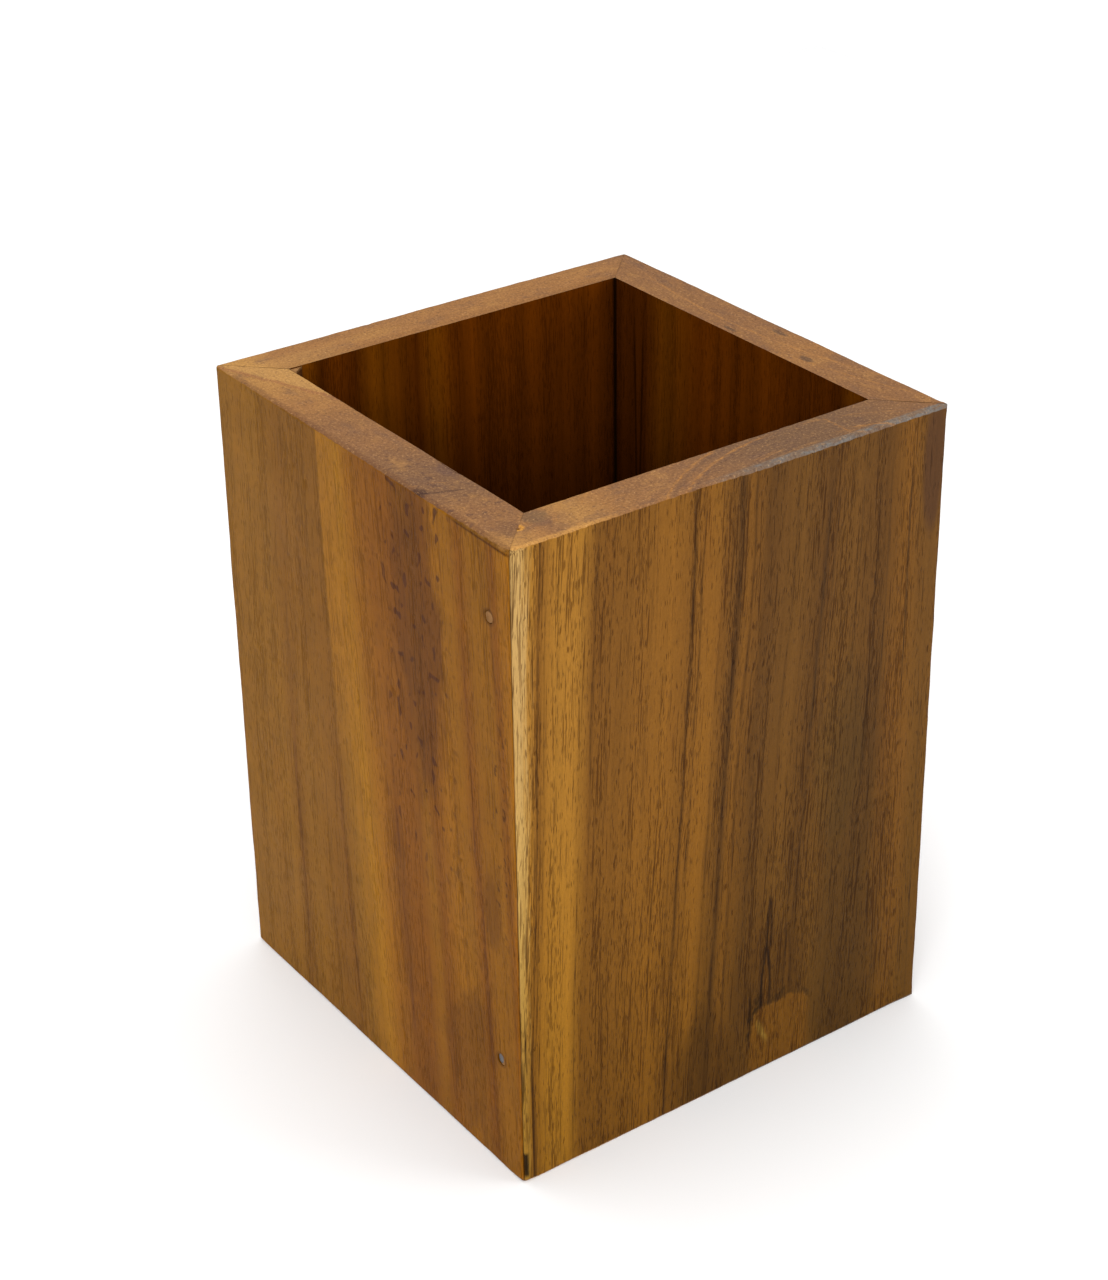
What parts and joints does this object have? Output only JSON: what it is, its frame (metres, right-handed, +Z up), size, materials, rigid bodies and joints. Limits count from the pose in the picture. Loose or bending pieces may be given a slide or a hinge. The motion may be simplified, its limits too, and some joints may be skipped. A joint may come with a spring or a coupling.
{
  "type": "pen holder",
  "caption": "Square open-topped desk holder of mitred upright teak boards with a housed floor panel and filled wire brads at the corners.",
  "frame": {"origin": "centre of the base, on the surface that the box stands on", "axes": "+Z up along the grain of the boards; -Y out of the front board, which has the pale sapwood strip; -X out of the left board"},
  "size_m": [0.09, 0.09, 0.122],
  "materials": {
    "teak": "satin oiled",
    "floor_teak": "matte, unsanded",
    "brad_steel": "dull",
    "wood_filler": "matte"
  },
  "bodies": {
    "root": {"front_board": "teak", "left_board": "teak", "back_board": "teak", "right_board": "teak", "floor_panel": "floor_teak", "brad_front_left_lower": "brad_steel", "brad_front_left_upper": "brad_steel", "brad_front_right_lower": "brad_steel", "brad_front_right_upper": "brad_steel", "brad_back_left_lower": "brad_steel", "brad_back_left_upper": "brad_steel", "brad_back_right_lower": "brad_steel", "brad_back_right_upper": "brad_steel", "filler_plug_front_left_upper": "wood_filler", "filler_plug_front_right_lower": "wood_filler", "filler_plug_front_right_upper": "wood_filler", "filler_plug_back_left_lower": "wood_filler", "filler_plug_back_left_upper": "wood_filler", "filler_plug_back_right_lower": "wood_filler", "filler_plug_back_right_upper": "wood_filler", "corner_filler": "wood_filler"}
  },
  "joints": []
}
